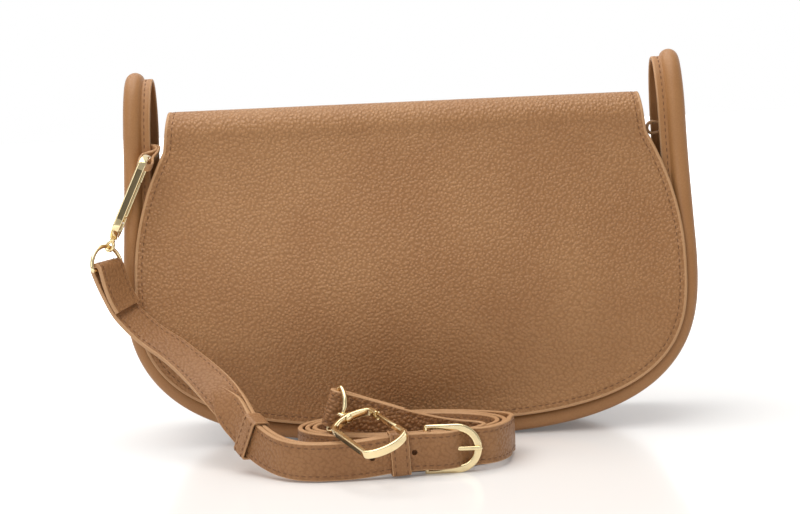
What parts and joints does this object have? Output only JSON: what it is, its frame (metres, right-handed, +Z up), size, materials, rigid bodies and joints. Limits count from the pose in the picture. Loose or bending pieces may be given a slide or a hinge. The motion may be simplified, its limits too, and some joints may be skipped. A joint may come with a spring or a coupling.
{
  "type": "saddle handbag",
  "caption": "Saddle handbag with rolled rims, folding flap, snap and zip pocket; its clip-on strap hangs from one ear and lies coiled in front",
  "frame": {"origin": "on the table under the middle of the bag, midway between its front and back rims", "axes": "+X to the right in the view of the front, +Y from the front to the back, +Z up"},
  "size_m": [0.2963, 0.1864, 0.186],
  "materials": {
    "leather": "pebbled",
    "edge_leather": "smooth",
    "lining": "matte",
    "metal": "polished pale gold"
  },
  "bodies": {
    "bag": {"front_panel": "leather", "back_panel": "leather", "gusset": "leather", "front_roll": "leather", "back_roll": "leather", "front_binding": "edge_leather", "back_binding": "edge_leather", "lining_front": "lining", "lining_back": "lining", "lining_gusset": "lining", "base_board": "lining", "flap_yoke": "leather", "left_ear_loop": "edge_leather", "right_ear_loop": "edge_leather", "snap_socket": "metal", "pocket_bag": "lining", "zip_tapes": "lining", "zip_teeth": "metal", "short_strap": "leather", "long_strap": "leather", "fixed_keeper": "edge_leather", "left_dring": "metal", "left_swivel": "metal"},
    "flap": {"flap_outer": "leather", "flap_edges": "edge_leather", "flap_lining": "lining", "snap_stud": "metal"},
    "left_hook_body": {"left_hook": "metal", "left_gate_pin": "metal"},
    "left_gate_body": {"left_gate": "metal"},
    "keeper_body": {"sliding_keeper": "edge_leather"},
    "buckle_body": {"buckle_frame": "metal"},
    "prong_body": {"buckle_prong": "metal"},
    "right_ring_body": {"right_dring": "metal"},
    "right_swivel_body": {"right_swivel": "metal"},
    "right_hook_body": {"right_hook": "metal", "right_gate_pin": "metal"},
    "right_gate_body": {"right_gate": "metal"},
    "slider_body": {"zip_slider": "metal"},
    "puller_body": {"zip_puller": "metal"}
  },
  "joints": [
    {"name": "flap_hinge", "type": "hinge", "parent": "bag", "child": "flap", "pos_m": [0, 0.011, 0.16243], "axis": [-1, 0, 0], "range_deg": [0, 160], "deforming": ["flap_edges", "short_strap", "long_strap"]},
    {"name": "left_hook_turn", "type": "hinge", "parent": "bag", "child": "left_hook_body", "pos_m": [-0.14406, -0.039, 0.10534], "axis": [-0.398, -0.218, -0.8911], "range_deg": [-2.5, 2.5]},
    {"name": "left_gate_hinge", "type": "hinge", "parent": "left_hook_body", "child": "left_gate_body", "pos_m": [-0.14085, -0.02687, 0.11367], "axis": [0.9078, 0.0464, -0.4168], "range_deg": [0, 20], "stiffness_Nm_per_rad": 0.002, "springref_deg": -11.46},
    {"name": "keeper_slide", "type": "slide", "parent": "bag", "child": "keeper_body", "axis": [0.5262, -0.7414, -0.4165], "range_m": [-0.004, 0.004], "deforming": ["short_strap", "long_strap"]},
    {"name": "buckle_turn", "type": "hinge", "parent": "bag", "child": "buckle_body", "pos_m": [0.0039, -0.11471, 0.01096], "axis": [0, 0, -1], "range_deg": [0, 30], "deforming": ["short_strap", "long_strap"]},
    {"name": "prong_turn", "type": "hinge", "parent": "buckle_body", "child": "prong_body", "pos_m": [0.0039, -0.11471, 0.01096], "axis": [0, 0, -1], "range_deg": [0, 70], "deforming": ["short_strap", "long_strap"]},
    {"name": "right_ring_turn", "type": "hinge", "parent": "bag", "child": "right_ring_body", "pos_m": [-0.03767, -0.09675, 0.02832], "axis": [-0.3018, 0.0037, -0.9534], "range_deg": [0, 50], "deforming": ["short_strap", "long_strap"]},
    {"name": "right_swivel_swing", "type": "hinge", "parent": "right_ring_body", "child": "right_swivel_body", "pos_m": [-0.03306, -0.10607, 0.02682], "axis": [-0.3018, 0.0037, -0.9534], "range_deg": [0, 30]},
    {"name": "right_hook_turn", "type": "hinge", "parent": "right_swivel_body", "child": "right_hook_body", "pos_m": [-0.03127, -0.1096, 0.02623], "axis": [-0.449, 0.881, 0.149], "range_deg": [0, 30], "deforming": ["short_strap", "long_strap"]},
    {"name": "right_gate_hinge", "type": "hinge", "parent": "right_hook_body", "child": "right_gate_body", "pos_m": [-0.01767, -0.11585, 0.02796], "axis": [0.2484, 0.2833, -0.9263], "range_deg": [0, 20], "stiffness_Nm_per_rad": 0.002, "springref_deg": -11.46},
    {"name": "zip_slide", "type": "slide", "parent": "bag", "child": "slider_body", "axis": [1, 0, 0], "range_m": [0, 0.12], "deforming": ["zip_teeth"]},
    {"name": "puller_lift", "type": "hinge", "parent": "slider_body", "child": "puller_body", "pos_m": [-0.0648, 0.01016, 0.117], "axis": [0, 0.1942, -0.981], "range_deg": [0, 100]}
  ]
}
